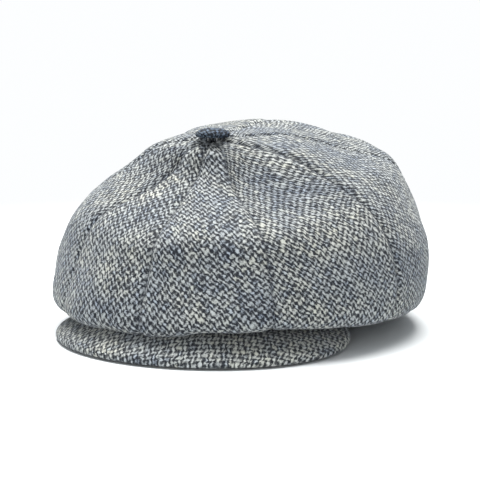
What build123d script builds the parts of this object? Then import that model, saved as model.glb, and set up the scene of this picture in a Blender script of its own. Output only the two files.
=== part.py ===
"""An eight-panel tweed cap, built from the pieces a cap maker cuts and sews.

The cap faces -Y and stands on z = 0, on the lower edge of its headband. +X is the wearer's left.
All sizes are in millimetres. The origin is the middle of the headband's oval, on the table.
"""
from build123d import *
from math import cos, hypot, radians, sin, sqrt
import os

os.makedirs("parts", exist_ok=True)

# ---------------------------------------------------------------- driving dimensions
# Cloths and boards
tweed_thickness = 1.8
lining_thickness = 0.4
sweatband_thickness = 1.2
interlining_thickness = 0.7
board_thickness = 1.4
ply_gap = 0.1  # between two layers that are sewn or glued together
seam_room = 1.0  # from the headband to the crown's sewn edge, taken up by the turned seam allowance

# Headband: an oval tube, cut away at the front where the peak is sewn on
band_half_width = 87.0
band_half_length = 105.0
band_height_back = 31.0
band_height_front = 29.0
band_front_lift = 18.0  # how far the lower edge stands off the table at the centre front
lift_start_y = 25.0  # the lower edge starts to rise here, behind the ends of the peak
sweatband_inset = 1.0  # the sweatband stops this far short of the headband's lower edge
band_overlap = 2.0  # the headband stands this far above the crown seam, inside the crown

# Crown: its girth, the fold where it turns under, and its top
crown_half_width = 137.0
crown_front_reach = 139.0
crown_back_reach = 153.0
crown_top = 146.0
fold_front_z = 16.0
fold_back_z = 8.0
panel_count = 8
gore_cuts = 4  # straight steps across one gore

# Button on top
button_x = -9.0  # where the panel points meet: to the wearer's right of the middle,
button_y = -27.0  # and forward of it
button_diameter = 25.0
button_height = 6.0
button_shell_thickness = 0.5
button_back_thickness = 0.6
button_back_gap = 2.5  # from the back plate's rim to the wall of the shell
button_lap = 0.5  # the button reaches this far past the ring where the panels end under it
prong_length = 5.0
prong_width = 2.0
prong_thickness = 0.5
prong_spacing = 8.0

# Peak
peak_depth = 50.0
peak_half_angle = 80.0  # degrees round the headband, from the centre front to each end
peak_end_depth = 4.0
peak_fullness = 4  # the higher, the longer the peak keeps its depth before it narrows to its ends
peak_end_rise = 8  # the higher, the nearer its ends the rim leaves the table
peak_table_gap = 0.6
peak_band_gap = 1.0  # keeps the turning peak clear of the headband
board_inset = 2.2  # from the board's edge to the covers' edge
upper_edge_bevel = 1.2  # the upper cover turns down over this much of its rim
under_edge_bevel = 0.6
peak_stations = 21

# Lining
lining_inset = 7.0  # from the crown's outside to the lining over the head
lining_cuts = 16  # straight steps round one half
LINING_FIRST_LEVEL = 4  # the crown levels that the side lining follows
LINING_LAST_LEVEL = 7
label_width = 42.0
label_length = 26.0
label_thickness = 0.5

# Shape of the crown below its girth: share of the overhang, share of the way up from fold to seam
UNDERSIDE = (
    (0.00, 1.00),
    (0.50, 0.32),
    (0.80, 0.02),
)
# Shape from the girth up: shares of the side, front and back reach, then of the front and back rise
UPPER = (
    (0.99, 1.03, 1.00, 0.070, 0.190),
    (0.97, 0.90, 1.00, 0.340, 0.480),
    (0.82, 0.81, 0.955, 0.510, 0.845),
    (0.61, 0.41, 0.74, 0.735, 0.925),
    (0.365, 0.30, 0.465, 0.890, 1.005),
)
LEAN = (0.0, 1.0, 2.0, 4.0, -1.5)  # how far each of those levels slumps to the wearer's left
ring_rise_front = 0.955  # the ring round the button, as shares of the rise
ring_rise_back = 0.97
# Shape of the button from its rim to its top: shares of its radius and height
DOME_PROFILE = ((1.0, 0.0), (0.8, 0.75), (0.45, 0.96), (0.0, 1.0))

# ---------------------------------------------------------------- derived places
tilt_front_top = band_front_lift + band_height_front
ring_radius = button_diameter / 2 - button_lap
far = 400.0  # longer than the cap, for cutting tools


def mix(low, high, share):
    """A value part of the way from low to high."""
    return low + share * (high - low)


def band_top_z(y):
    """Height of the headband's upper edge, a plane that rises towards the front."""
    return mix(tilt_front_top, band_height_back, (y + band_half_length) / (2 * band_half_length))


def band_bottom_z(y):
    """Height of the headband's lower edge: on the table, then rising to the centre front."""
    return band_front_lift * max(0.0, (lift_start_y - y) / (lift_start_y + band_half_length))


def oval_point(level, degrees):
    """The point of a level's outline that lies in a direction from the button's axis, 0 being the front.

    A level is half width, front and back reach, front and back height, and the place of its middle.
    Each half of the outline is half an ellipse, and the whole lies on one tilted plane.
    """
    half_width, front, back, z_front, z_back, centre_x, centre_y = level
    side = sin(radians(degrees))
    ahead = cos(radians(degrees))
    offset_x = button_x - centre_x
    offset_y = button_y - centre_y
    for reach, is_front in ((front + centre_y, True), (back - centre_y, False)):
        a = (side / half_width) ** 2 + (ahead / reach) ** 2
        b = 2 * offset_x * side / half_width**2 - 2 * offset_y * ahead / reach**2
        c = (offset_x / half_width) ** 2 + (offset_y / reach) ** 2 - 1
        distance = (-b + sqrt(b * b - 4 * a * c)) / (2 * a)
        y = button_y - distance * ahead
        if is_front == (y < centre_y):
            break
    return button_x + distance * side, y, mix(z_front, z_back, (y + front) / (front + back))


def oval_bar(half_width, half_length, half_height):
    """An upright solid with an oval section, centred on the origin."""
    return extrude(Ellipse(half_width, half_length), half_height, both=True)


def crown_levels():
    """Levels of the crown's outside, from its seam on the headband down, out and up to the button."""
    seam_front = band_top_z(-band_half_length) - band_overlap
    seam_back = band_top_z(band_half_length) - band_overlap
    seam_reach = seam_room  # the crown is sewn to the outside of the headband
    rows = []
    for out, up in UNDERSIDE:
        rows.append((
            mix(band_half_width + seam_reach, crown_half_width, out),
            mix(band_half_length + seam_reach, crown_front_reach, out),
            mix(band_half_length + seam_reach, crown_back_reach, out),
            mix(fold_front_z, seam_front, up),
            mix(fold_back_z, seam_back, up),
            0.0,
            0.0,
        ))
    for (side, front, back, rise_front, rise_back), lean in zip(UPPER, LEAN):
        rows.append((
            crown_half_width * side,
            crown_front_reach * front,
            crown_back_reach * back,
            mix(fold_front_z, crown_top, rise_front),
            mix(fold_back_z, crown_top, rise_back),
            button_x * (1 - side) + lean,
            button_y * (1 - side),
        ))
    return rows


def inward(profile, distance):
    """Move each point of a (reach, height) profile towards the inside of the crown."""
    moved = []
    last = len(profile) - 1
    for index, (reach, height) in enumerate(profile):
        before = profile[max(index - 1, 0)]
        after = profile[min(index + 1, last)]
        run = after[0] - before[0]
        climb = after[1] - before[1]
        length = hypot(run, climb)
        moved.append((reach - distance * climb / length, height + distance * run / length))
    return moved


def inset_levels(rows, distance):
    """The crown's levels moved inwards by a thickness, measured square to the cloth."""
    side = inward([(row[0], (row[3] + row[4]) / 2) for row in rows], distance)
    front = inward([(row[1], row[3]) for row in rows], distance)
    back = inward([(row[2], row[4]) for row in rows], distance)
    return [
        (side[i][0], front[i][0], back[i][0], front[i][1], back[i][1], *rows[i][5:])
        for i in range(len(rows))
    ]


def shell_piece(outer, inner, start_degrees, end_degrees, steps):
    """A strip of shell between two angles, lofted straight from each cut to the next."""
    cuts = []
    for step in range(steps + 1):
        degrees = mix(start_degrees, end_degrees, step / steps)
        outside = [oval_point(level, degrees) for level in outer]
        inside = [oval_point(level, degrees) for level in inner]
        cuts.append(Wire.make_polygon(outside + inside[::-1], close=True))
    return Solid.make_loft(cuts, ruled=True)


def tilted_cut(y_low, z_low, y_high, z_high, above):
    """All the space above or below a plane that contains the X direction and two (y, z) points."""
    slope = (z_high - z_low) / (y_high - y_low)
    edge = far if above else -far
    corners = [
        (-far, z_low + slope * (-far - y_low)),
        (far, z_low + slope * (far - y_low)),
        (far, edge),
        (-far, edge),
    ]
    outline = make_face(Plane.YZ * Polyline(*corners, close=True))
    return Pos(-far, 0, 0) * extrude(outline, 2 * far, dir=(1, 0, 0))


# ---------------------------------------------------------------- crown
levels = crown_levels()
ring_front_z = mix(fold_front_z, crown_top, ring_rise_front)
ring_back_z = mix(fold_back_z, crown_top, ring_rise_back)


def button_circle(radius, drop=0.0):
    """A level that is a circle round the button's axis, lowered by drop."""
    return (
        radius,
        radius - button_y,
        radius + button_y,
        ring_front_z - drop,
        ring_back_z - drop,
        button_x,
        button_y,
    )


def crown_panels():
    """The crown's gores, each from one seam to the next, open only where the button's prongs pass."""
    outer = levels + [button_circle(ring_radius)]
    inner = inset_levels(outer, tweed_thickness)
    hole = (prong_spacing + prong_thickness) / 2 + ply_gap
    outer.append(button_circle(hole))
    inner.append(button_circle(hole, tweed_thickness))
    gore = 360 / panel_count
    return [
        shell_piece(outer, inner, index * gore, (index + 1) * gore, gore_cuts)
        for index in range(panel_count)
    ]


def side_names():
    """Names for the gores, going round from the centre front over the wearer's left."""
    half = panel_count // 2
    left = [f"crown_panel_left_{number}" for number in range(1, half + 1)]
    right = [f"crown_panel_right_{number}" for number in range(half, 0, -1)]
    return left + right


# ---------------------------------------------------------------- button
button_seat_z = max(ring_front_z, ring_back_z) + ply_gap


def dome(radius, height, z_low):
    """A shallow domed disc with a flat underside, on the button's axis."""
    profile = [(radius * out, 0, z_low + height * up) for out, up in DOME_PROFILE]
    outline = Polyline((0, 0, z_low), *profile, close=True)
    return Pos(button_x, button_y, 0) * revolve(make_face(outline), Axis.Z)


def button():
    """Cloth cover, pressed metal shell and back plate with two prongs that hold it in the crown."""
    radius = button_diameter / 2
    shell_radius = radius - tweed_thickness
    shell_height = button_height - tweed_thickness
    room_radius = shell_radius - button_shell_thickness
    room_height = shell_height - button_shell_thickness
    cover = dome(radius, button_height, button_seat_z)
    cover = cover - dome(shell_radius + ply_gap, shell_height + ply_gap, button_seat_z)
    shell = dome(shell_radius, shell_height, button_seat_z) - dome(room_radius, room_height, button_seat_z)
    plate_disc = Circle(room_radius - button_back_gap)
    plate = Pos(button_x, button_y, button_seat_z) * extrude(plate_disc, button_back_thickness)
    for side in (-1, 1):
        prong = Box(prong_thickness, prong_width, prong_length, align=(Align.CENTER, Align.CENTER, Align.MAX))
        reach = side * (prong_spacing / 2 - prong_thickness)
        plate = plate + Pos(button_x + reach, button_y, button_seat_z) * prong
    return cover, shell, plate


# ---------------------------------------------------------------- headband
def band_ring(outside_inset, thickness, top_inset, bottom_inset):
    """One layer of the headband: an oval tube trimmed to the band's sloping edges."""
    outer = oval_bar(band_half_width - outside_inset, band_half_length - outside_inset, far / 2)
    inner_inset = outside_inset + thickness
    inner = oval_bar(band_half_width - inner_inset, band_half_length - inner_inset, far)
    top_front = band_top_z(-band_half_length) - top_inset
    top_back = band_top_z(band_half_length) - top_inset
    ring = (outer - inner) - tilted_cut(-band_half_length, top_front, band_half_length, top_back, True)
    ring = ring - tilted_cut(-far, bottom_inset, far, bottom_inset, False)
    lift = band_bottom_z(-band_half_length) + bottom_inset
    return ring - tilted_cut(-band_half_length, lift, lift_start_y, bottom_inset, False)


def headband():
    """Tweed band outside, canvas interlining in the middle, sweatband next to the head."""
    outside = band_ring(0.0, tweed_thickness, 0.0, 0.0)
    canvas_inset = tweed_thickness + ply_gap
    canvas = band_ring(canvas_inset, interlining_thickness, sweatband_inset, sweatband_inset)
    sweat_inset = canvas_inset + interlining_thickness + ply_gap
    sweat = band_ring(sweat_inset, sweatband_thickness, 0.0, sweatband_inset)
    return outside, canvas, sweat, sweat_inset + sweatband_thickness


# ---------------------------------------------------------------- peak
def peak_station(share):
    """Inner and outer point of the peak's underside where it is cut across, share running from -1 to 1."""
    angle = radians(peak_half_angle * share)
    half_width = band_half_width + peak_band_gap
    half_length = band_half_length + peak_band_gap
    inner = (half_width * sin(angle), -half_length * cos(angle))
    square = (sin(angle) / half_width, -cos(angle) / half_length)
    length = hypot(*square)
    depth = mix(peak_end_depth, peak_depth, 1 - abs(share) ** peak_fullness)
    outer = (inner[0] + depth * square[0] / length, inner[1] + depth * square[1] / length)
    lift = band_bottom_z(inner[1])
    inner_z = lift + peak_table_gap
    outer_z = lift * abs(share) ** peak_end_rise + peak_table_gap
    return (*inner, inner_z), (*outer, outer_z), depth


def peak_layer(outline):
    """A layer of the peak, lofted through one outline per station.

    The outline's corners are (distance back from the rim, height); None is the peak's inner edge.
    """
    wires = []
    for index in range(peak_stations):
        inner, outer, depth = peak_station(mix(-1, 1, index / (peak_stations - 1)))
        corners = []
        for back_from_rim, up in outline:
            share = 0.0 if back_from_rim is None else 1 - back_from_rim / depth
            x, y, z = (mix(low, high, share) for low, high in zip(inner, outer))
            corners.append((x, y, z + up))
        wires.append(Wire.make_polygon(corners, close=True))
    return Solid.make_loft(wires, ruled=True)


def peak():
    """Under cover, board and upper cover; the upper cover laps over the board's rim."""
    board_low = tweed_thickness + ply_gap
    board_high = board_low + board_thickness
    cover_low = board_high + ply_gap
    cover_high = cover_low + tweed_thickness
    under = peak_layer((
        (None, 0),
        (under_edge_bevel, 0),
        (0, tweed_thickness / 2),
        (0, tweed_thickness),
        (None, tweed_thickness),
    ))
    board = peak_layer((
        (None, board_low),
        (board_inset, board_low),
        (board_inset, board_high),
        (None, board_high),
    ))
    lap = board_inset - ply_gap
    upper = peak_layer((
        (None, cover_low),
        (lap, cover_low),
        (lap, board_low),
        (0, board_low),
        (0, cover_low),
        (upper_edge_bevel, cover_high),
        (None, cover_high),
    ))
    return under, board, upper


# ---------------------------------------------------------------- lining
def lining_levels(inset):
    """Levels of the side lining: from the top of the sweatband, up inside the crown, to the oval tip."""
    head_gap = lining_start + inset
    reach = band_half_length - head_gap
    low = (
        band_half_width - head_gap,
        reach,
        reach,
        band_top_z(-reach) + ply_gap,
        band_top_z(reach) + ply_gap,
        0.0,
        0.0,
    )
    return [low] + inset_levels(levels, lining_inset + inset)[LINING_FIRST_LEVEL:LINING_LAST_LEVEL]


def side_lining():
    """The two halves of the side lining, joined at the centre front and back."""
    outer = lining_levels(0.0)
    inner = lining_levels(lining_thickness)
    left_half = shell_piece(outer, inner, 180, 0, lining_cuts)
    right_half = shell_piece(outer, inner, 180, 360, lining_cuts)
    return left_half, right_half


def tip_plate(level, z_low, z_high):
    """A thin oval plate on a level's tilted plane, between two heights above it."""
    count = 2 * lining_cuts
    rings = []
    for lift in (z_low, z_high):
        points = [oval_point(level, 360 * step / count) for step in range(count)]
        rings.append(Wire.make_polygon([(x, y, z + lift) for x, y, z in points], close=True))
    return Solid.make_loft(rings, ruled=True)


def lining_tip():
    """The oval tip of the lining, sewn on top of the side lining, and the blank label under it."""
    top = lining_levels(0.0)[-1]
    tip = tip_plate(top, ply_gap, ply_gap + lining_thickness)
    middle = (top[2] - top[1]) / 2
    slope = (top[4] - top[3]) / (top[1] + top[2])
    z_front = mix(top[3], top[4], (middle - label_length / 2 + top[1]) / (top[1] + top[2]))
    z_back = z_front + slope * label_length
    corners = [
        (-label_width / 2, middle - label_length / 2, z_front),
        (label_width / 2, middle - label_length / 2, z_front),
        (label_width / 2, middle + label_length / 2, z_back),
        (-label_width / 2, middle + label_length / 2, z_back),
    ]
    rings = [
        Wire.make_polygon([(x, y, z - drop) for x, y, z in corners], close=True)
        for drop in (label_thickness, 0.0)
    ]
    return tip, Solid.make_loft(rings, ruled=True)


parts = dict(zip(side_names(), crown_panels()))
parts["button_cover"], parts["button_shell"], parts["button_back"] = button()
parts["headband"], parts["headband_canvas"], parts["sweatband"], lining_start = headband()
parts["lining_left"], parts["lining_right"] = side_lining()
parts["lining_tip"], parts["lining_label"] = lining_tip()
parts["peak_under_cover"], parts["peak_board"], parts["peak_upper_cover"] = peak()

for name, solid in parts.items():
    export_step(solid, f"parts/{name}.step")
print(len(parts), "pieces written")
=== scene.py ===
# %% [markdown]
# # A tweed newsboy cap
#
# The cap is eight gores of coarse tweed sewn to a headband, a covered button where the gores meet,
# and a stiff peak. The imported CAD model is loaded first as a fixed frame. It says how large each
# piece is and which pieces move together. This script then makes the cloth.

# %% Load the frame and measure it
import math
import bpy
import numpy as np
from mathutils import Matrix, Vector, noise


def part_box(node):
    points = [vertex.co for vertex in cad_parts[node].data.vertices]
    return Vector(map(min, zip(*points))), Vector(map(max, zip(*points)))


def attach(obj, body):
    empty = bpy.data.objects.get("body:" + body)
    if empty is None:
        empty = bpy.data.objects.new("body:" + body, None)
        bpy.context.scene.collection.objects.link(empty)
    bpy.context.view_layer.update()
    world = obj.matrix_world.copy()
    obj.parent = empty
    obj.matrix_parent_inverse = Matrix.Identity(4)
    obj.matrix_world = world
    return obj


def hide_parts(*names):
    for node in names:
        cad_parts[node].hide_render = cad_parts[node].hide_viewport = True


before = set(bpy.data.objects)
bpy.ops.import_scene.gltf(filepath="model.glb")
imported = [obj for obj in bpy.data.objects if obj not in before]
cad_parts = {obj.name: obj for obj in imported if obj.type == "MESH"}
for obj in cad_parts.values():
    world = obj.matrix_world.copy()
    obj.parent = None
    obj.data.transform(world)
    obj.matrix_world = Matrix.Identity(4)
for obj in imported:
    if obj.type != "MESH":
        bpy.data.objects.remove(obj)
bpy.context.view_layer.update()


# %% Sizes shared by the pieces, in metres
TWEED = 0.0018
PLY_GAP = 0.0001
BAND_HALF_WIDTH = 0.087
BAND_HALF_LENGTH = 0.105
BAND_HEIGHT_BACK = 0.031
BAND_HEIGHT_FRONT = 0.029
BAND_FRONT_LIFT = 0.018
LIFT_START_Y = 0.025
BUTTON_X = -0.009
BUTTON_Y = -0.027
PANELS = 8
GORE = 2 * math.pi / PANELS


def mix(low, high, share):
    """A value part of the way from low to high."""
    return low + share * (high - low)


def ease(low, high, value):
    """0 below low, 1 above high, and a smooth S between."""
    share = np.clip((value - low) / (high - low), 0.0, 1.0)
    return share * share * (3 - 2 * share)


def band_top(y):
    """Height of the headband's upper edge."""
    backwards = (y + BAND_HALF_LENGTH) / (2 * BAND_HALF_LENGTH)
    return mix(BAND_FRONT_LIFT + BAND_HEIGHT_FRONT, BAND_HEIGHT_BACK, backwards)


def band_bottom(y):
    """Height of the headband's lower edge, which lifts off the table towards the peak."""
    return BAND_FRONT_LIFT * np.maximum(0.0, (LIFT_START_Y - y) / (LIFT_START_Y + BAND_HALF_LENGTH))


def deselect_all():
    """Nothing selected and object mode, as an operator expects."""
    if bpy.context.object and bpy.context.object.mode != "OBJECT":
        bpy.ops.object.mode_set(mode="OBJECT")
    bpy.ops.object.select_all(action="DESELECT")


def finish_modifier(piece, kind, name, **settings):
    """Add a modifier, set it and apply it."""
    modifier = piece.modifiers.new(name, kind)
    for key, value in settings.items():
        setattr(modifier, key, value)
    deselect_all()
    bpy.context.view_layer.objects.active = piece
    piece.select_set(True)
    bpy.ops.object.modifier_apply(modifier=modifier.name)


# %% [markdown]
# ## Camera, floor and light
#
# The cap is seen from a little above the table and from its left front. The table is white and
# brightly lit from above, so only the contact shadows show on it. A world that looks white to the
# camera and shines more softly on the cloth keeps the front of the cap from washing out. A floor with
# a hard horizon could be cropped out, but a disc that fades into the white needs no care from any
# side. It is open from below, so that the underside can be looked at.

# %% Camera
CAMERA_AZIMUTH = math.radians(25)
CAMERA_ELEVATION = math.radians(9)
CAMERA_DISTANCE = 1.15
CAMERA_AIM = Vector((0.0, 0.0, 0.0625))
toward_camera = Vector((
    math.sin(CAMERA_AZIMUTH) * math.cos(CAMERA_ELEVATION),
    -math.cos(CAMERA_AZIMUTH) * math.cos(CAMERA_ELEVATION),
    math.sin(CAMERA_ELEVATION),
))
deselect_all()
bpy.ops.object.camera_add(location=CAMERA_AIM + CAMERA_DISTANCE * toward_camera)
camera = bpy.context.object
camera.name = "camera"
camera.rotation_euler = (-toward_camera).to_track_quat("-Z", "Y").to_euler()
camera.data.sensor_width = 36
camera.data.lens = 115.9
bpy.context.scene.camera = camera
print("camera at", [round(value, 3) for value in camera.location])


# %% Floor, world and lamps
def plain_material(name, color, roughness):
    """A new material with one Principled shader."""
    material = bpy.data.materials.new(name)
    material.use_nodes = True
    shader = material.node_tree.nodes["Principled BSDF"]
    shader.inputs["Base Color"].default_value = (*color, 1)
    shader.inputs["Roughness"].default_value = roughness
    return material, shader


FLOOR_FADE_START = 0.18
FLOOR_FADE_END = 0.75
bpy.ops.mesh.primitive_circle_add(vertices=96, radius=FLOOR_FADE_END, fill_type="NGON", location=(0, 0, 0))
floor = bpy.context.object
floor.name = "floor"
floor_material, floor_shader = plain_material("white_table", (0.76, 0.785, 0.80), 0.7)
floor_nodes = floor_material.node_tree.nodes
floor_links = floor_material.node_tree.links
place_on_floor = floor_nodes.new("ShaderNodeTexCoord")
from_middle = floor_nodes.new("ShaderNodeVectorMath")
from_middle.operation = "LENGTH"
fade = floor_nodes.new("ShaderNodeMapRange")
fade.interpolation_type = "SMOOTHSTEP"
fade.inputs["From Min"].default_value = FLOOR_FADE_START
fade.inputs["From Max"].default_value = FLOOR_FADE_END
side = floor_nodes.new("ShaderNodeNewGeometry")
open_from_below = floor_nodes.new("ShaderNodeMath")
open_from_below.operation = "MAXIMUM"
nothing = floor_nodes.new("ShaderNodeBsdfTransparent")
floor_mix = floor_nodes.new("ShaderNodeMixShader")
floor_links.new(place_on_floor.outputs["Object"], from_middle.inputs[0])
floor_links.new(from_middle.outputs["Value"], fade.inputs["Value"])
floor_links.new(fade.outputs["Result"], open_from_below.inputs[0])
floor_links.new(side.outputs["Backfacing"], open_from_below.inputs[1])
floor_links.new(open_from_below.outputs[0], floor_mix.inputs[0])
floor_links.new(floor_shader.outputs[0], floor_mix.inputs[1])
floor_links.new(nothing.outputs[0], floor_mix.inputs[2])
floor_links.new(floor_mix.outputs[0], floor_nodes["Material Output"].inputs["Surface"])
floor.data.materials.append(floor_material)

world = bpy.context.scene.world or bpy.data.worlds.new("studio")
bpy.context.scene.world = world
world.use_nodes = True
sky_nodes = world.node_tree.nodes
sky_links = world.node_tree.links
sky_nodes.clear()
seen = sky_nodes.new("ShaderNodeBackground")
seen.inputs["Color"].default_value = (0.98, 0.992, 1.0, 1)
seen.inputs["Strength"].default_value = 1.0
shining = sky_nodes.new("ShaderNodeBackground")
shining.inputs["Color"].default_value = (0.93, 0.97, 1.0, 1)
shining.inputs["Strength"].default_value = 0.45
path = sky_nodes.new("ShaderNodeLightPath")
choice = sky_nodes.new("ShaderNodeMixShader")
sky_out = sky_nodes.new("ShaderNodeOutputWorld")
sky_links.new(path.outputs["Is Camera Ray"], choice.inputs[0])
sky_links.new(shining.outputs[0], choice.inputs[1])
sky_links.new(seen.outputs[0], choice.inputs[2])
sky_links.new(choice.outputs[0], sky_out.inputs[0])


def softbox(name, place, aim, size, watts, color=(1, 1, 1)):
    """A square area lamp that points at a place."""
    deselect_all()
    bpy.ops.object.light_add(type="AREA", location=place)
    lamp = bpy.context.object
    lamp.name = name
    lamp.data.shape = "SQUARE"
    lamp.data.size = size
    lamp.data.energy = watts
    lamp.data.color = color
    lamp.rotation_euler = (Vector(aim) - Vector(place)).to_track_quat("-Z", "Y").to_euler()
    return lamp


softbox("overhead", (-0.25, 0.45, 1.5), (0, 0, 0.05), 1.5, 82, (1.0, 0.99, 0.97))
softbox("front_fill", (0.5, -1.3, 0.25), (0, 0, 0.04), 0.8, 8)
bpy.context.scene.view_settings.view_transform = "Standard"
print("floor fades out by", FLOOR_FADE_END, "m, and two lamps light the cap")


# %% [markdown]
# ## Tweed
#
# The cloth is woven from thick pale and dark navy woollen yarns, so pale slanting flecks sit like a
# draughtboard. A flat scan of cloth could be wrapped round the cap, but a procedure follows each
# gore's own flat pattern, so the weave turns at every seam as sewn cloth does.
# One node group makes the weave, and each tweed material places it with its own values.

# %% A small helper for node graphs
class Graph:
    """Adds nodes to a tree and joins them, so that a formula reads in the order it is worked out."""

    def __init__(self, tree):
        self.tree = tree

    def node(self, kind, **settings):
        new = self.tree.nodes.new(kind)
        for key, value in settings.items():
            setattr(new, key, value)
        return new

    def put(self, socket, value):
        if hasattr(value, "is_output"):
            self.tree.links.new(value, socket)
        else:
            socket.default_value = value

    def math(self, operation, *values, clamp=False):
        new = self.node("ShaderNodeMath", operation=operation, use_clamp=clamp)
        for socket, value in zip(new.inputs, values):
            self.put(socket, value)
        return new.outputs[0]

    def noise(self, vector, scale, detail=2.0, dimensions="3D"):
        new = self.node("ShaderNodeTexNoise", noise_dimensions=dimensions)
        self.put(new.inputs["Vector"], vector)
        new.inputs["Scale"].default_value = scale
        new.inputs["Detail"].default_value = detail
        return new.outputs

    def blend(self, share, first, second, kind="MIX"):
        new = self.node("ShaderNodeMix", data_type="RGBA", blend_type=kind)
        self.put(new.inputs["Factor"], share)
        self.put(new.inputs["A"], first)
        self.put(new.inputs["B"], second)
        return new.outputs["Result"]

    def ramp(self, value, stops, interpolation="LINEAR"):
        new = self.node("ShaderNodeValToRGB")
        new.color_ramp.interpolation = interpolation
        elements = new.color_ramp.elements
        while len(elements) < len(stops):
            elements.new(0.5)
        for element, (place, color) in zip(elements, stops):
            element.position = place
            element.color = (*color, 1)
        self.put(new.inputs[0], value)
        return new.outputs["Color"]

    def spread(self, value, low, high, to_low=0.0, to_high=1.0):
        new = self.node("ShaderNodeMapRange", interpolation_type="SMOOTHSTEP")
        self.put(new.inputs["Value"], value)
        new.inputs["From Min"].default_value = low
        new.inputs["From Max"].default_value = high
        new.inputs["To Min"].default_value = to_low
        new.inputs["To Max"].default_value = to_high
        return new.outputs["Result"]


# %% The weave as a node group
FLECK_LEAN = 1.1
FLECK_CHANCE = 1.2
FIBRE_STRENGTH = 6.0
YARN_WANDER = ((0.8, 0.80), (2.6, 0.45))


def make_weave_group():
    """Coarse colour-and-weave tweed: colour, height and roughness from flat pattern coordinates."""
    tree = bpy.data.node_groups.new("tweed_weave", "ShaderNodeTree")
    for name, kind in (
        ("Vector", "NodeSocketVector"),
        ("Repeat", "NodeSocketFloat"),
        ("Tint", "NodeSocketColor"),
        ("Seam", "NodeSocketFloat"),
    ):
        tree.interface.new_socket(name, in_out="INPUT", socket_type=kind)
    for name, kind in (
        ("Color", "NodeSocketColor"),
        ("Height", "NodeSocketFloat"),
        ("Roughness", "NodeSocketFloat"),
    ):
        tree.interface.new_socket(name, in_out="OUTPUT", socket_type=kind)
    g = Graph(tree)
    given = g.node("NodeGroupInput")
    result = g.node("NodeGroupOutput")
    # coordinates counted in repeats of the weave, made uneven as spun yarn is
    per_repeat = g.math("DIVIDE", 1.0, given.outputs["Repeat"])
    repeats = g.node("ShaderNodeVectorMath", operation="SCALE")
    g.put(repeats.inputs[0], given.outputs["Vector"])
    g.put(repeats.inputs["Scale"], per_repeat)
    pushed = repeats.outputs[0]
    for scale, strength in YARN_WANDER:
        wander = g.noise(repeats.outputs[0], scale, 1.0)["Color"]
        centred = g.node("ShaderNodeVectorMath", operation="SUBTRACT")
        g.put(centred.inputs[0], wander)
        centred.inputs[1].default_value = (0.5, 0.5, 0.5)
        shifted = g.node("ShaderNodeVectorMath", operation="MULTIPLY_ADD")
        g.put(shifted.inputs[0], centred.outputs[0])
        shifted.inputs[1].default_value = (strength, strength, 0.0)
        g.put(shifted.inputs[2], pushed)
        pushed = shifted.outputs[0]
    split = g.node("ShaderNodeSeparateXYZ")
    g.put(split.inputs[0], pushed)
    x = split.outputs["X"]
    y = split.outputs["Y"]

    def wave(place):
        return g.math("COSINE", g.math("MULTIPLY", place, 2 * math.pi))

    # pale flecks lie like a draughtboard, and a third wave leans each of them over
    rising = g.math("ADD", y, x)
    falling = g.math("SUBTRACT", y, x)
    leaning = g.math("MULTIPLY_ADD", x, 2.0, y)
    board = g.math("ADD", wave(rising), wave(falling))
    figure = g.math("MULTIPLY_ADD", wave(leaning), FLECK_LEAN, board)
    # each fleck takes its own shade
    cell = g.node("ShaderNodeCombineXYZ")
    g.put(cell.inputs[0], g.math("ROUND", rising))
    g.put(cell.inputs[1], g.math("ROUND", falling))
    chance = g.node("ShaderNodeTexWhiteNoise", noise_dimensions="2D")
    g.put(chance.inputs["Vector"], cell.outputs[0])
    uneven = g.math("MULTIPLY_ADD", g.math("SUBTRACT", chance.outputs["Value"], 0.5), FLECK_CHANCE, figure)
    fibre = g.noise(repeats.outputs[0], 7.0, 3.0)["Fac"]
    uneven = g.math("MULTIPLY_ADD", g.math("SUBTRACT", fibre, 0.5), FIBRE_STRENGTH, uneven)
    woven = g.ramp(g.spread(uneven, -2.5, 2.65), (
        (0.00, (0.016, 0.018, 0.023)),
        (0.25, (0.036, 0.039, 0.045)),
        (0.48, (0.112, 0.118, 0.124)),
        (0.70, (0.245, 0.258, 0.266)),
        (1.00, (0.430, 0.450, 0.462)),
    ))
    # yarn colours: cool and warm flecks, then clouds a few centimetres wide
    yarn = g.ramp(chance.outputs["Value"], (
        (0.00, (0.92, 0.97, 1.07)),
        (0.45, (1.00, 1.00, 1.00)),
        (0.80, (1.00, 1.00, 1.00)),
        (1.00, (1.02, 1.01, 0.96)),
    ))
    woven = g.blend(1.0, woven, yarn, "MULTIPLY")
    cloud = g.noise(given.outputs["Vector"], 24.0, 3.0)["Fac"]
    tint = g.ramp(cloud, (
        (0.36, (0.77, 0.81, 0.88)),
        (0.50, (0.99, 1.00, 1.00)),
        (0.64, (1.14, 1.12, 1.05)),
    ))
    woven = g.blend(1.0, woven, tint, "MULTIPLY")
    woven = g.blend(1.0, woven, given.outputs["Tint"], "MULTIPLY")
    # painted shade: the sewn line is darkened towards navy black, as the shadow in its groove
    g.put(result.inputs["Color"], g.blend(given.outputs["Seam"], woven, (0.010, 0.013, 0.022, 1)))
    g.put(result.inputs["Height"], g.spread(uneven, -2.0, 2.2))
    g.put(result.inputs["Roughness"], g.spread(fibre, 0.2, 0.8, 0.78, 0.96))
    return tree


weave_group = make_weave_group()
print("weave group of", len(weave_group.nodes), "nodes")


TWEED_RELIEF = 0.0009


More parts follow.
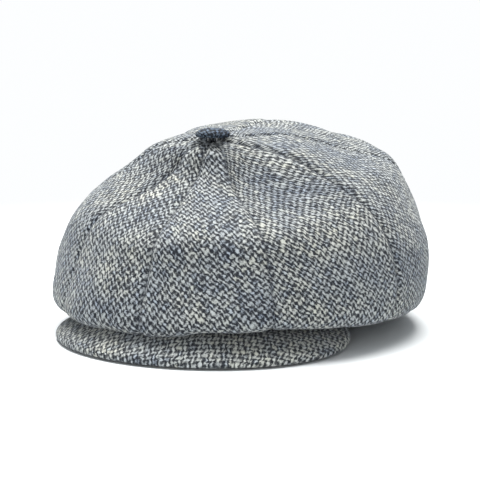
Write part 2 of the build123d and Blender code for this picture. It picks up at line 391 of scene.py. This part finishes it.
def tweed_material(name, repeat, tint, turn=0.0, sheen=0.25):
    """Tweed laid at an angle to the piece's own flat pattern."""
    material, shader = plain_material(name, (0.2, 0.22, 0.24), 0.9)
    g = Graph(material.node_tree)
    flat = g.node("ShaderNodeUVMap", uv_map="pattern")
    placed = g.node("ShaderNodeMapping")
    g.put(placed.inputs["Vector"], flat.outputs[0])
    placed.inputs["Rotation"].default_value = (0, 0, turn)
    weave = g.node("ShaderNodeGroup", node_tree=weave_group)
    g.put(weave.inputs["Vector"], placed.outputs[0])
    weave.inputs["Repeat"].default_value = repeat
    weave.inputs["Tint"].default_value = (*tint, 1)
    # the seam attribute carries the painted shade along each seam
    seam = g.node("ShaderNodeAttribute", attribute_type="GEOMETRY", attribute_name="seam")
    g.put(weave.inputs["Seam"], seam.outputs["Fac"])
    g.put(shader.inputs["Base Color"], weave.outputs["Color"])
    g.put(shader.inputs["Roughness"], weave.outputs["Roughness"])
    relief = g.node("ShaderNodeBump")
    relief.inputs["Strength"].default_value = 0.8
    relief.inputs["Distance"].default_value = TWEED_RELIEF
    g.put(relief.inputs["Height"], weave.outputs["Height"])
    g.put(shader.inputs["Normal"], relief.outputs[0])
    shader.inputs["Sheen Weight"].default_value = sheen
    shader.inputs["Sheen Roughness"].default_value = 0.35
    shader.inputs["Sheen Tint"].default_value = (0.85, 0.90, 0.95, 1)
    shader.inputs["Specular IOR Level"].default_value = 0.2
    return material


REPEAT = 0.0055
LAID = math.radians(-9)
crown_tweed = tweed_material("crown_tweed", REPEAT, (1.0, 1.0, 0.98), LAID)
peak_tweed = tweed_material("peak_tweed", REPEAT * 1.05, (1.06, 1.05, 1.0), math.radians(18))
button_tweed = tweed_material("button_tweed", REPEAT, (0.22, 0.28, 0.38), sheen=0.05)
band_tweed = tweed_material("band_tweed", REPEAT, (0.85, 0.85, 0.85))
print("four tweeds, with a repeat of", REPEAT, "m on the crown")


# %% [markdown]
# ## Sheets
#
# Cloth starts as a flat grid, as it is cut, and each of its points is then placed in space. Its flat
# pattern is kept as a UV map in metres, which the weave follows. A Solidify modifier gives the cloth
# its thickness on the inside.

# %% A sheet placed point by point
def sheet_piece(name, columns, rows, place, flat, thickness, seam=None):
    """Grid of columns by rows, each point put at place(u, v); flat(u, v) is its pattern in metres."""
    deselect_all()
    bpy.ops.mesh.primitive_grid_add(x_subdivisions=columns, y_subdivisions=rows, size=1, location=(0, 0, 0))
    piece = bpy.context.object
    piece.name = name
    mesh = piece.data
    mesh.name = name
    corners = np.empty(len(mesh.vertices) * 3)
    mesh.vertices.foreach_get("co", corners)
    corners = corners.reshape(-1, 3)
    u = corners[:, 0] + 0.5
    v = corners[:, 1] + 0.5
    spots = place(u, v)
    mesh.vertices.foreach_set("co", spots.ravel())
    pattern = mesh.uv_layers[0]
    pattern.name = "pattern"
    of_corner = np.empty(len(mesh.loops), dtype=int)
    mesh.loops.foreach_get("vertex_index", of_corner)
    pattern.data.foreach_set("uv", flat(u, v)[of_corner].ravel())
    mesh.update()
    if seam:
        mask = mesh.attributes.new("seam", "FLOAT", "POINT")
        mask.data.foreach_set("value", seam(u, v))
    area = sum(face.area for face in mesh.polygons)
    if thickness:
        finish_modifier(piece, "SOLIDIFY", "thickness", thickness=thickness, offset=-1.0)
    for face in mesh.polygons:
        face.use_smooth = True
    return piece, area


# %% [markdown]
# ## Crown
#
# A real crown is eight petals sewn edge to edge, gathered into the headband below and drawn to a
# point under the button. Its levels are ovals, each on its own tilted plane: in at the headband, out
# and down to a soft fold, out to the girth, then in over the head. Each gore follows a smooth line
# through the levels. The cloth dips at each seam, swells between seams and has soft uneven hollows.

# %% Levels of the crown
CROWN_HALF_WIDTH = 0.137
CROWN_FRONT_REACH = 0.139
CROWN_BACK_REACH = 0.153
CROWN_TOP = 0.146
FOLD_FRONT = 0.016
FOLD_BACK = 0.008
SEAM_ROOM = 0.0004
UNDERSIDE = (
    (0.00, 1.00),
    (0.50, 0.32),
    (0.80, 0.02),
)
UPPER = (
    (0.99, 1.03, 1.00, 0.070, 0.190),
    (0.97, 0.90, 1.00, 0.340, 0.480),
    (0.82, 0.81, 0.955, 0.510, 0.845),
    (0.61, 0.41, 0.74, 0.735, 0.925),
    (0.365, 0.30, 0.465, 0.890, 1.005),
)
LEAN = (0.0, 0.001, 0.002, 0.004, -0.0015)
RING_RADIUS = 0.004
RING_RISE = (0.95, 0.97)


def crown_levels():
    """Each level: half width, front and back reach, front and back height, x and y of its middle."""
    seam_front = band_top(-BAND_HALF_LENGTH) - 0.002
    seam_back = band_top(BAND_HALF_LENGTH) - 0.002
    rows = []
    for out, up in UNDERSIDE:
        rows.append((
            mix(BAND_HALF_WIDTH + SEAM_ROOM, CROWN_HALF_WIDTH, out),
            mix(BAND_HALF_LENGTH + SEAM_ROOM, CROWN_FRONT_REACH, out),
            mix(BAND_HALF_LENGTH + SEAM_ROOM, CROWN_BACK_REACH, out),
            mix(FOLD_FRONT, seam_front, up),
            mix(FOLD_BACK, seam_back, up),
            0.0,
            0.0,
        ))
    for (side, front, back, rise_front, rise_back), lean in zip(UPPER, LEAN):
        rows.append((
            CROWN_HALF_WIDTH * side,
            CROWN_FRONT_REACH * front,
            CROWN_BACK_REACH * back,
            mix(FOLD_FRONT, CROWN_TOP, rise_front),
            mix(FOLD_BACK, CROWN_TOP, rise_back),
            BUTTON_X * (1 - side) + lean,
            BUTTON_Y * (1 - side),
        ))
    rows.append((
        RING_RADIUS,
        RING_RADIUS - BUTTON_Y,
        RING_RADIUS + BUTTON_Y,
        mix(FOLD_FRONT, CROWN_TOP, RING_RISE[0]),
        mix(FOLD_BACK, CROWN_TOP, RING_RISE[1]),
        BUTTON_X,
        BUTTON_Y,
    ))
    return rows


LEVELS = crown_levels()
print(len(LEVELS), "levels in the crown")


def oval_points(level, angle):
    """Points of a level's outline in directions from the button's axis; angle is an array, 0 the front."""
    half_width, front, back, z_front, z_back, centre_x, centre_y = level
    side = np.sin(angle)
    ahead = np.cos(angle)
    offset_x = BUTTON_X - centre_x
    offset_y = BUTTON_Y - centre_y

    def distance_for(reach):
        a = (side / half_width) ** 2 + (ahead / reach) ** 2
        b = 2 * offset_x * side / half_width**2 - 2 * offset_y * ahead / reach**2
        c = (offset_x / half_width) ** 2 + (offset_y / reach) ** 2 - 1
        return (-b + np.sqrt(b * b - 4 * a * c)) / (2 * a)

    near = distance_for(front + centre_y)
    far = distance_for(back - centre_y)
    distance = np.where(BUTTON_Y - near * ahead < centre_y, near, far)
    y = BUTTON_Y - distance * ahead
    z = mix(z_front, z_back, (y + front) / (front + back))
    return np.stack([BUTTON_X + distance * side, y, z], axis=-1)


def through_levels(angle, v, levels=None):
    """Smooth line through the levels at each angle; v runs from the first level (0) to the last (1)."""
    levels = levels or LEVELS
    rings = np.stack([oval_points(level, angle) for level in levels])
    count = len(levels) - 1
    place = np.clip(v, 0, 1) * count
    low = np.minimum(place.astype(int), count - 1)
    t = (place - low)[:, None]
    rows = np.arange(len(angle))

    def ring(index):
        return rings[np.clip(index, 0, count), rows]

    before, here, there, after = ring(low - 1), ring(low), ring(low + 1), ring(low + 2)
    return 0.5 * (
        2 * here
        + (there - before) * t
        + (2 * before - 5 * here + 4 * there - after) * t**2
        + (3 * here - 3 * there + after - before) * t**3
    )


# %% Softness of the crown's cloth
SEAM_DIP = 0.0015
SEAM_DIP_WIDTH = 0.0026
SEAM_SHADE_WIDTH = 0.0009
SWELL = 0.0010
FOLD_RISE = 0.006
RISE_STARTS = math.radians(4)
RISE_IS_FULL = math.radians(32)
RISE_FALLS = math.radians(105)
RISE_ENDS = math.radians(140)
HOLLOWS = (
    (19, Vector((3.1, 7.7, 1.3)), 0.0030),
    (52, Vector((9.2, 1.4, 5.5)), 0.0010),
)


def distance_from_seam(angle, spot):
    """How far each point lies from the nearest seam between gores."""
    turn = np.mod(angle, GORE)
    return np.minimum(turn, GORE - turn) * np.hypot(spot[:, 0] - BUTTON_X, spot[:, 1] - BUTTON_Y)


def crown_surface(angle, v):
    """The crown's outside with its seam dips, swells and soft hollows, for arrays of angle and v."""
    step = 1e-3
    spot = through_levels(angle, v)
    around = through_levels(angle + step, v) - through_levels(angle - step, v)
    upward = through_levels(angle, np.minimum(v + step, 1)) - through_levels(angle, np.maximum(v - step, 0))
    normal = np.cross(around, upward)
    normal /= np.linalg.norm(normal, axis=1)[:, None] + 1e-12
    from_seam = distance_from_seam(angle, spot)
    turn = np.mod(angle, GORE)
    drawn_in = 1 + 0.9 * ease(0.80, 1.0, v)
    dip = -SEAM_DIP * drawn_in * np.exp(-((from_seam / SEAM_DIP_WIDTH) ** 2))
    swell = SWELL * np.sin(np.pi * turn / GORE) * ease(0.0, 0.35, v) * (1 - ease(0.75, 1.0, v))
    soft = np.empty(len(v))
    for index, point in enumerate(spot):
        place = Vector(point)
        soft[index] = sum(depth * noise.noise(place * scale + start) for scale, start, depth in HOLLOWS)
    fade = ease(0.0, 0.22, v) * (1 - ease(0.86, 1.0, v))
    spot = spot + normal * (dip + swell + soft * fade)[:, None]
    # the fold is drawn up a little over the wearer's left temple, and the cloth above it is not
    over_temple = ease(RISE_STARTS, RISE_IS_FULL, angle) * (1 - ease(RISE_FALLS, RISE_ENDS, angle))
    near_fold = ease(0.0, 0.2, v) * (1 - ease(0.020, 0.070, spot[:, 2]))
    spot[:, 2] += FOLD_RISE * over_temple * near_fold
    return spot


# %% Cut and place the eight gores
GORE_COLUMNS = 72
GORE_ROWS = 120
PATTERN_ROWS = 60
PATTERN_STEPS = 9
PATTERN_APART = 0.37
SEAM_SHADOW = 0.55
TWEED_CLOTH = TWEED - 0.0002


def towards_seams(u):
    """Spacing across a gore, closer together near its two seams."""
    return 0.5 * u + 0.5 * (0.5 - 0.5 * np.cos(np.pi * u))


def gore_name(index):
    """The CAD name of a gore, going round from the centre front over the wearer's left."""
    half = PANELS // 2
    return f"crown_panel_left_{index + 1}" if index < half else f"crown_panel_right_{PANELS - index}"


def gore_flat(index):
    """Length up the middle and width at each height, measured on the cloth, as a maker's pattern."""
    middle = (index + 0.5) * GORE
    heights = np.linspace(0, 1, PATTERN_ROWS)
    line = through_levels(np.full(PATTERN_ROWS, middle), heights)
    steps = np.linalg.norm(np.diff(line, axis=0), axis=1)
    lengths = np.concatenate([[0], np.cumsum(steps)])
    widths = np.empty(PATTERN_ROWS)
    for row, height in enumerate(heights):
        angles = np.linspace(index * GORE, (index + 1) * GORE, PATTERN_STEPS)
        across = through_levels(angles, np.full(PATTERN_STEPS, height))
        widths[row] = np.linalg.norm(np.diff(across, axis=0), axis=1).sum()
    return heights, lengths, widths


for index in range(PANELS):
    heights, lengths, widths = gore_flat(index)

    def place(u, v, index=index):
        return crown_surface((index + towards_seams(u)) * GORE, v)

    def flat(u, v, index=index, heights=heights, lengths=lengths, widths=widths):
        across = (towards_seams(u) - 0.5) * np.interp(v, heights, widths)
        return np.stack([across + PATTERN_APART * index, np.interp(v, heights, lengths)], axis=-1)

    # painted shade along each seam, strongest on the sewn line
    def seam(u, v, index=index):
        angle = (index + towards_seams(u)) * GORE
        from_seam = distance_from_seam(angle, through_levels(angle, v))
        return SEAM_SHADOW * np.exp(-((from_seam / SEAM_SHADE_WIDTH) ** 2))

    name = f"cloth_{gore_name(index)}"
    gore, area = sheet_piece(name, GORE_COLUMNS, GORE_ROWS, place, flat, TWEED_CLOTH, seam)
    gore.data.materials.append(crown_tweed)
    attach(gore, "cap")
    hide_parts(gore_name(index))


# %% [markdown]
# ## Peak
#
# The peak is a stiff crescent between two covers. The upper cover wraps over the rim and meets the
# under cover below it. It could be one thick slab, but two covers meet in a seam under the rim as sewn
# ones do. Both are sheets, placed from the headband out to the rim. The upper one is padded up a
# little, and the under one lies flat.

# %% Shape of the peak
PEAK_DEPTH = 0.050
PEAK_END_DEPTH = 0.004
PEAK_FULLNESS = 4
PEAK_END_RISE = 8
PEAK_HALF_ANGLE = math.radians(80)
PEAK_TABLE_GAP = 0.0006
PEAK_BAND_GAP = 0.001
PEAK_THICKNESS = 2 * TWEED + 0.0014 + 2 * PLY_GAP
PEAK_CROWN = 0.0025
PEAK_TURN_START = 0.86
PEAK_PATTERN_STRETCH = 1.08
UPPER_COVER_ENDS = 0.56
COVER_CLOTH = 0.0012


def peak_frame(share):
    """Inner point, outward direction, depth, and how far the peak's two edges stand off the table."""
    angle = PEAK_HALF_ANGLE * share
    half_width = BAND_HALF_WIDTH + PEAK_BAND_GAP
    half_length = BAND_HALF_LENGTH + PEAK_BAND_GAP
    inner = np.stack([half_width * np.sin(angle), -half_length * np.cos(angle)], axis=-1)
    square = np.stack([np.sin(angle) / half_width, -np.cos(angle) / half_length], axis=-1)
    square /= np.linalg.norm(square, axis=1)[:, None]
    depth = mix(PEAK_END_DEPTH, PEAK_DEPTH, 1 - np.abs(share) ** PEAK_FULLNESS)
    lift = band_bottom(inner[:, 1])
    rim_lift = lift * np.abs(share) ** PEAK_END_RISE
    return inner, square, depth, lift + PEAK_TABLE_GAP, rim_lift + PEAK_TABLE_GAP


def peak_section(around, depth, inner_z, rim_z):
    """Outline across the peak: around 0 is the upper inner edge, 0.5 the rim, 1 the lower inner edge."""
    half = PEAK_THICKNESS / 2
    flat_part = depth - half
    upper = around < 0.5
    along = np.where(upper, around / 0.5, (1 - around) / 0.5)
    # the last part of each side turns round the rim
    straight = np.minimum(along / PEAK_TURN_START, 1.0)
    bend = np.clip((along - PEAK_TURN_START) / (1 - PEAK_TURN_START), 0, 1) * np.pi / 2
    out = straight * flat_part + half * np.sin(bend)
    lift = half * np.cos(bend) * np.where(upper, 1, -1)
    share = out / depth
    # only the upper cover is arched: the under cover lies flat below the board
    arch = np.where(upper, PEAK_CROWN * 4 * share * (1 - share) * ease(0.0, PEAK_DEPTH, depth), 0.0)
    middle = mix(inner_z, rim_z, share) + half + arch
    return out, middle + lift


def place_peak(start, stop):
    """A placing function for the stretch of the peak's outline between start and stop."""

    def place(u, v):
        share = 1 - 2 * u
        inner, square, depth, inner_z, rim_z = peak_frame(share)
        around = start + (stop - start) * v
        out, z = peak_section(around, depth, inner_z, rim_z)
        spots = np.empty((len(u), 3))
        spots[:, :2] = inner + out[:, None] * square
        spots[:, 2] = z
        return spots

    return place


def flat_peak(u, v):
    """The peak's flat pattern is its own plan, so the weave runs straight across it."""
    spots = place_peak(0.0, 0.5)(u, v)
    return np.stack([spots[:, 0], spots[:, 1] * PEAK_PATTERN_STRETCH], axis=-1)


# %% Upper and under covers
for name, start, stop, node in (
    ("peak_upper_cloth", 0.0, UPPER_COVER_ENDS, "peak_upper_cover"),
    ("peak_under_cloth", UPPER_COVER_ENDS, 1.0, "peak_under_cover"),
):
    cover, area = sheet_piece(name, 120, 36, place_peak(start, stop), flat_peak, COVER_CLOTH)
    cover.data.materials.append(peak_tweed)
    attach(cover, "peak")
    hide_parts(node)
    print(name, "area", round(area, 4))


# %% [markdown]
# ## Button
#
# A covered button is a disc of the same tweed pulled over a metal shell. It is a shallow dome with a
# rolled edge, and the cloth puckers a little where it is drawn under. A squashed sphere would be
# quicker, but it has neither the rolled edge nor the puckers.

# %% Button cover
button_low, button_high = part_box("button_cover")
button_radius = (button_high[0] - button_low[0]) / 2
BUTTON_ROLL = np.pi * 0.62
BUTTON_EDGE_LIFT = 0.0012
BUTTON_DOME = 0.0046
PUCKERS = 9
PUCKER_DEPTH = 0.025
print("button radius", round(button_radius, 4))


def place_button(u, v):
    """v runs from the middle of the dome out over the rolled edge and under."""
    angle = 2 * np.pi * u
    roll = v * BUTTON_ROLL
    out = button_radius * np.sin(roll) ** 0.9
    pucker = 1 + PUCKER_DEPTH * np.sin(angle * PUCKERS + 0.4) * ease(0.45, 1.0, v)
    x = BUTTON_X + out * pucker * np.cos(angle)
    y = BUTTON_Y + out * pucker * np.sin(angle)
    z = button_low[2] + BUTTON_EDGE_LIFT + BUTTON_DOME * np.cos(roll)
    return np.stack([x, y, z], axis=-1)


def flat_button(u, v):
    angle = 2 * np.pi * u
    out = button_radius * v * 1.3
    return np.stack([out * np.cos(angle), out * np.sin(angle)], axis=-1)


def close_round(piece, gap):
    """Join a round sheet's two side edges and its middle, and turn its faces outwards."""
    finish_modifier(piece, "WELD", "close", merge_threshold=gap)
    deselect_all()
    bpy.context.view_layer.objects.active = piece
    piece.select_set(True)
    bpy.ops.object.mode_set(mode="EDIT")
    bpy.ops.mesh.select_all(action="SELECT")
    bpy.ops.mesh.normals_make_consistent(inside=False)
    bpy.ops.object.mode_set(mode="OBJECT")


button, area = sheet_piece("button_cloth", 64, 20, place_button, flat_button, 0)
close_round(button, 0.00005)
finish_modifier(button, "SOLIDIFY", "thickness", thickness=COVER_CLOTH, offset=-1.0)
button.data.materials.append(button_tweed)
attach(button, "cap")
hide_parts("button_cover")
print("button cloth area", round(area, 5))


# %% [markdown]
# ## Headband, sweatband and lining
#
# The headband is an oval strip of tweed. Inside it the sweatband is a strip of ribbed tape, and the
# lining rises from it to an oval tip. Each is a sheet that follows its CAD solid. The three strips
# differ only in place and cloth, so one function makes them all.

# %% Strips round the head
STRIP_PATTERN_HEIGHT = 0.03


def strip(name, inset, top_inset, bottom_inset, thickness):
    """A band round the head, between the headband's sloping edges."""

    def place(u, v):
        angle = 2 * np.pi * u
        x = (BAND_HALF_WIDTH - inset) * np.sin(angle)
        y = -(BAND_HALF_LENGTH - inset) * np.cos(angle)
        low = band_bottom(y) + bottom_inset
        high = band_top(y) - top_inset
        return np.stack([x, y, mix(low, high, v)], axis=-1)

    girth = 2 * math.pi * math.sqrt(((BAND_HALF_WIDTH - inset) ** 2 + (BAND_HALF_LENGTH - inset) ** 2) / 2)

    def flat(u, v):
        return np.stack([u * girth, v * STRIP_PATTERN_HEIGHT], axis=-1)

    piece, area = sheet_piece(name, 144, 10, place, flat, 0)
    finish_modifier(piece, "WELD", "close", merge_threshold=0.00002)
    finish_modifier(piece, "SOLIDIFY", "thickness", thickness=thickness, offset=-1.0)
    for face in piece.data.polygons:
        face.use_smooth = True
    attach(piece, "cap")
    print(name, "girth", round(girth, 3), "area", round(area, 4))
    return piece


headband = strip("headband_cloth", 0.0, 0.0, 0.0, TWEED_CLOTH)
headband.data.materials.append(band_tweed)
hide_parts("headband")


# %% Tape, satin, metal and board finishes
def ribbed_tape():
    """Dark cotton tape with fine upright ribs."""
    material, shader = plain_material("sweatband_tape", (0.03, 0.034, 0.045), 0.75)
    g = Graph(material.node_tree)
    flat = g.node("ShaderNodeUVMap", uv_map="pattern")
    split = g.node("ShaderNodeSeparateXYZ")
    g.put(split.inputs[0], flat.outputs[0])
    rib = g.math("ABSOLUTE", g.math("SINE", g.math("MULTIPLY", split.outputs["X"], math.pi / 0.0012)))
    tone = g.noise(flat.outputs[0], 60.0, 3.0)["Fac"]
    worn = g.ramp(tone, ((0.3, (0.016, 0.019, 0.027)), (0.7, (0.052, 0.056, 0.068))))
    # painted shade: the grooves between the ribs are darkened half way to near black
    g.put(shader.inputs["Base Color"], g.blend(rib, g.blend(0.5, worn, (0.008, 0.009, 0.012, 1)), worn))
    relief = g.node("ShaderNodeBump")
    relief.inputs["Strength"].default_value = 0.6
    relief.inputs["Distance"].default_value = 0.0003
    g.put(relief.inputs["Height"], rib)
    g.put(shader.inputs["Normal"], relief.outputs[0])
    shader.inputs["Sheen Weight"].default_value = 0.2
    return material


def satin():
    """Dark satin lining with fine crosswise threads and soft creases, its colour painted darker in the
    crease hollows and lighter on the ridges.
    """
    material, shader = plain_material("lining_satin", (0.045, 0.05, 0.065), 0.35)
    g = Graph(material.node_tree)
    spot = g.node("ShaderNodeTexCoord").outputs["Object"]
    crease_and_shade = g.noise(spot, 24.0, 4.0)["Fac"]
    thread = g.noise(spot, 900.0, 2.0)["Fac"]
    # painted shade and highlight: the colour follows the crease relief, darker in the hollows and lighter
    # on the ridges
    tone = g.ramp(crease_and_shade, ((0.3, (0.030, 0.034, 0.046)), (0.7, (0.075, 0.082, 0.105))))
    g.put(shader.inputs["Base Color"], tone)
    g.put(shader.inputs["Roughness"], g.spread(thread, 0.3, 0.7, 0.26, 0.46))
    relief = g.node("ShaderNodeBump")
    relief.inputs["Strength"].default_value = 0.5
    relief.inputs["Distance"].default_value = 0.002
    g.put(relief.inputs["Height"], crease_and_shade)
    g.put(shader.inputs["Normal"], relief.outputs[0])
    return material


def mottled(name, low, high, scale, roughness, metallic=0.0):
    """A plain finish whose tone and roughness vary a little over the piece."""
    material, shader = plain_material(name, low, roughness)
    g = Graph(material.node_tree)
    spot = g.node("ShaderNodeTexCoord").outputs["Object"]
    tone = g.noise(spot, scale, 4.0)["Fac"]
    g.put(shader.inputs["Base Color"], g.ramp(tone, ((0.3, low), (0.7, high))))
    g.put(shader.inputs["Roughness"], g.spread(tone, 0.3, 0.7, roughness - 0.08, roughness + 0.08))
    shader.inputs["Metallic"].default_value = metallic
    return material


tape = ribbed_tape()
lining_cloth = satin()
canvas_cloth = mottled("stiff_canvas", (0.55, 0.51, 0.42), (0.72, 0.68, 0.58), 700, 0.85)
label_weave = mottled("label_cloth", (0.50, 0.48, 0.42), (0.62, 0.60, 0.54), 800, 0.8)
NODE_FINISHES = {
    "button_shell": mottled("pressed_steel", (0.45, 0.45, 0.46), (0.62, 0.62, 0.62), 300, 0.35, 1.0),
    "button_back": mottled("prong_steel", (0.42, 0.42, 0.43), (0.60, 0.60, 0.60), 300, 0.4, 1.0),
    "peak_board": mottled("peak_board", (0.66, 0.65, 0.60), (0.76, 0.75, 0.71), 120, 0.55),
}
for node, finish in NODE_FINISHES.items():
    solid = bpy.data.objects[node]
    solid.data.materials.clear()
    solid.data.materials.append(finish)


# %% Canvas and sweatband
canvas = strip("headband_canvas_cloth", 0.0019, 0.001, 0.001, 0.0006)
canvas.data.materials.append(canvas_cloth)
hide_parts("headband_canvas")

sweatband = strip("sweatband_tape", 0.0027, 0.0, 0.001, 0.0011)
sweatband.data.materials.append(tape)
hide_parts("sweatband")


# %% [markdown]
# ## Lining
#
# The lining is satin: two side pieces that rise from the sweatband inside the crown, and an oval tip
# over the head with a blank label. It follows the crown's levels a few millimetres further in, so it
# is found by moving those levels square to the cloth. It hangs in shallow folds, which the crown's
# stiff tweed doesn't have.

# %% Levels of the lining
LINING_INSET = 0.007
LINING_THICKNESS = 0.0004
SWEATBAND_INSIDE = TWEED + 2 * PLY_GAP + 0.0007 + 0.0012
LINING_LEVELS = slice(4, 7)


def inward(profile, distance):
    """Each point of a (reach, height) profile moved towards the inside of the crown."""
    moved = []
    for index, (reach, height) in enumerate(profile):
        before = profile[max(index - 1, 0)]
        after = profile[min(index + 1, len(profile) - 1)]
        run, climb = after[0] - before[0], after[1] - before[1]
        length = math.hypot(run, climb)
        moved.append((reach - distance * climb / length, height + distance * run / length))
    return moved


def lining_levels():
    """The top of the sweatband, then the crown's levels moved inwards."""
    rows = LEVELS[:-1]
    side = inward([(row[0], (row[3] + row[4]) / 2) for row in rows], LINING_INSET)
    front = inward([(row[1], row[3]) for row in rows], LINING_INSET)
    back = inward([(row[2], row[4]) for row in rows], LINING_INSET)
    moved = [
        (side[i][0], front[i][0], back[i][0], front[i][1], back[i][1], rows[i][5], rows[i][6])
        for i in range(len(rows))
    ]
    reach = BAND_HALF_LENGTH - SWEATBAND_INSIDE
    low = (
        BAND_HALF_WIDTH - SWEATBAND_INSIDE,
        reach,
        reach,
        band_top(-reach) + PLY_GAP,
        band_top(reach) + PLY_GAP,
        0.0,
        0.0,
    )
    return [low] + moved[LINING_LEVELS]


LINING = lining_levels()
print(len(LINING), "levels in the lining")


def lining_folds(spot, angle, v, depth):
    """Shallow upright folds, strongest half way up, that push the lining towards the head."""
    wave = 0.5 - 0.5 * np.cos(angle * 17 + 1.3 * np.sin(3 * angle))
    inwards = np.stack([BUTTON_X - spot[:, 0], BUTTON_Y - spot[:, 1], np.zeros(len(spot))], axis=-1)
    inwards /= np.linalg.norm(inwards, axis=1)[:, None]
    return spot + inwards * (depth * wave * np.sin(np.pi * v))[:, None]


# %% Side pieces of the lining
for name, first, last in (("lining_left", 0.0, math.pi), ("lining_right", math.pi, 2 * math.pi)):

    def place(u, v, first=first, last=last):
        angle = first + (last - first) * u
        return lining_folds(through_levels(angle, v, LINING), angle, v, 0.0016)

    middle = np.full(20, (first + last) / 2)
    line = through_levels(middle, np.linspace(0, 1, 20), LINING)
    height = float(np.linalg.norm(np.diff(line, axis=0), axis=1).sum())
    around = through_levels(np.linspace(first, last, 60), np.full(60, 0.4), LINING)
    girth = float(np.linalg.norm(np.diff(around, axis=0), axis=1).sum())

    def flat(u, v, girth=girth, height=height):
        return np.stack([u * girth, v * height], axis=-1)

    side, area = sheet_piece(f"{name}_satin", 160, 40, place, flat, LINING_THICKNESS)
    side.data.materials.append(lining_cloth)
    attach(side, "cap")
    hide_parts(name)
    print(side.name, "flat", round(girth, 3), "x", round(height, 3), "area", round(area, 4))


# %% Tip of the lining, and the label under it
TOP = LINING[-1]


def tip_point(x, y, lift):
    """A place on the tip's sloping plane."""
    return np.stack([x, y, mix(TOP[3], TOP[4], (y + TOP[1]) / (TOP[1] + TOP[2])) + lift], axis=-1)


def place_tip(u, v):
    """u runs round the oval, v from its middle to its rim; the satin lies in faint ripples."""
    rim = oval_points(TOP, 2 * np.pi * u)
    x = mix(BUTTON_X, rim[:, 0], v)
    y = mix(BUTTON_Y, rim[:, 1], v)
    ripple = 0.0006 * np.cos(2 * np.pi * u * 9) * v * (1 - v) * 4
    return tip_point(x, y, PLY_GAP + LINING_THICKNESS + np.abs(ripple))


def flat_tip(u, v):
    return place_tip(u, v)[:, :2]


tip, area = sheet_piece("lining_tip_satin", 96, 24, place_tip, flat_tip, 0)
close_round(tip, 0.00003)
finish_modifier(tip, "SOLIDIFY", "thickness", thickness=LINING_THICKNESS, offset=0.0)
tip.data.materials.append(lining_cloth)
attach(tip, "cap")
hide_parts("lining_tip")

LABEL_WIDTH = 0.042
LABEL_LENGTH = 0.026
LABEL_THICKNESS = 0.0005
label_middle = (TOP[2] - TOP[1]) / 2


def place_label(u, v):
    x = LABEL_WIDTH * (0.5 - u)
    y = label_middle + LABEL_LENGTH * (v - 0.5)
    curl = 0.0004 * (2 * np.abs(u - 0.5)) ** 6
    return tip_point(x, y, -LABEL_THICKNESS - curl)


def flat_label(u, v):
    return np.stack([u * LABEL_WIDTH, v * LABEL_LENGTH], axis=-1)


label, area = sheet_piece("blank_label", 24, 16, place_label, flat_label, LABEL_THICKNESS - 0.0001)
label.data.materials.append(label_weave)
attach(label, "cap")
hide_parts("lining_label")
